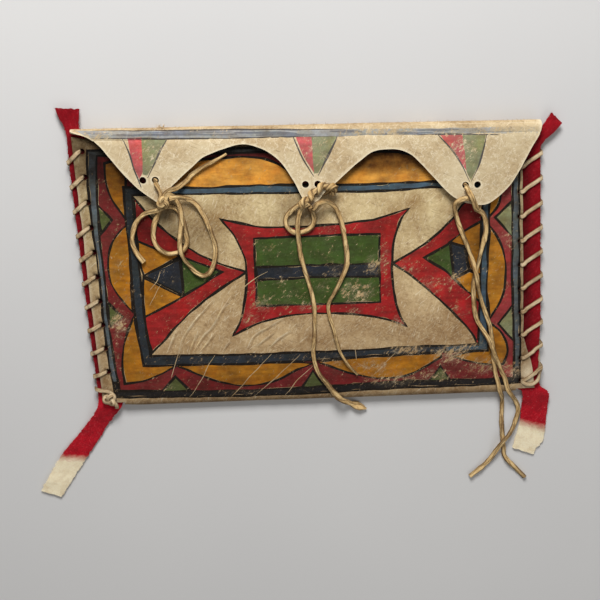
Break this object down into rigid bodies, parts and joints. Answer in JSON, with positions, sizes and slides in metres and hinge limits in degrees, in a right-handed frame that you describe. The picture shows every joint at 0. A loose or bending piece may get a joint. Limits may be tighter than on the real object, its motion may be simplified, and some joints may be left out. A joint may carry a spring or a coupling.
{
  "type": "parfleche case",
  "caption": "Flat painted rawhide envelope case with a lobed fold-over flap, wool strips laced into its ends and thong ties that close it.",
  "frame": {"origin": "middle of the back panel's flat underside", "axes": "+X along the length to the viewer's right, +Y to the top fold, +Z out of the painted front; the case lies on its back"},
  "size_m": [0.3756, 0.2885, 0.023],
  "materials": {
    "rawhide": "stiff, smooth, painted on the front and flap",
    "red_wool": "felted wool, white selvedge at the loose lower ends",
    "lace_hide": "flat rawhide lace",
    "buckskin": "soft tanned thong"
  },
  "bodies": {
    "case": {"case_body": "rawhide", "left_edge_cloth": "red_wool", "right_edge_cloth": "red_wool", "left_lacing": "lace_hide", "right_lacing": "lace_hide"},
    "flap": {"flap": "rawhide", "left_tie": "buckskin", "middle_tie": "buckskin", "right_tie": "buckskin"}
  },
  "joints": [
    {"name": "flap_fold", "type": "hinge", "parent": "case", "child": "flap", "pos_m": [0, 0.097, 0.0118], "axis": [-1, 0, 0], "range_deg": [0, 170]}
  ]
}
